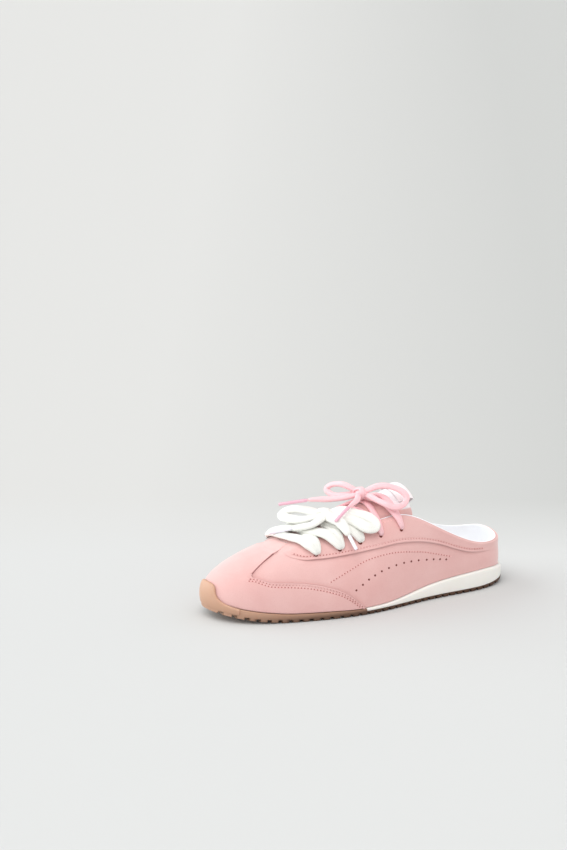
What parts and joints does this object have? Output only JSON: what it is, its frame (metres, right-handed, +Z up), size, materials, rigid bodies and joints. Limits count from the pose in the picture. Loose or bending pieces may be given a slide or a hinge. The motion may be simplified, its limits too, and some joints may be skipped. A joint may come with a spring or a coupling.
{
  "type": "sneaker mule",
  "caption": "Low suede sneaker mule, open and low at the heel, with a gum outsole and toe bumper, a white wedge midsole, a tall padded tongue and tied white and pink laces.",
  "frame": {"origin": "on the floor under the middle of the shoe's box, the laces' free stretches left out", "axes": "+X from heel to toe, +Y to the outer side of this left shoe, +Z up"},
  "size_m": [0.2576, 0.087, 0.095],
  "materials": {
    "suede": "napped suede, matt",
    "gum": "matt",
    "foam": "matt",
    "lining": "smooth",
    "satin_tape": "satin",
    "white_lace": "woven, matt",
    "pink_lace": "woven, matt",
    "tip_plastic": "clear film, glossy"
  },
  "bodies": {
    "root": {"eyestay_lateral": "suede", "eyestay_medial": "suede", "insole": "lining", "midsole": "foam", "outsole": "gum", "pink_end_long": "pink_lace", "pink_end_short": "pink_lace", "pink_knot": "pink_lace", "pink_lace_bars": "pink_lace", "pink_loop_front": "pink_lace", "pink_loop_rear": "pink_lace", "pink_tip_long": "tip_plastic", "pink_tip_short": "tip_plastic", "toe_overlay": "suede", "tongue": "suede", "tongue_label": "satin_tape", "upper": "suede", "white_end_front": "white_lace", "white_end_side": "white_lace", "white_knot": "white_lace", "white_lace_bars": "white_lace", "white_loop_front": "white_lace", "white_loop_rear": "white_lace", "white_tip_front": "tip_plastic", "white_tip_side": "tip_plastic"}
  },
  "joints": []
}
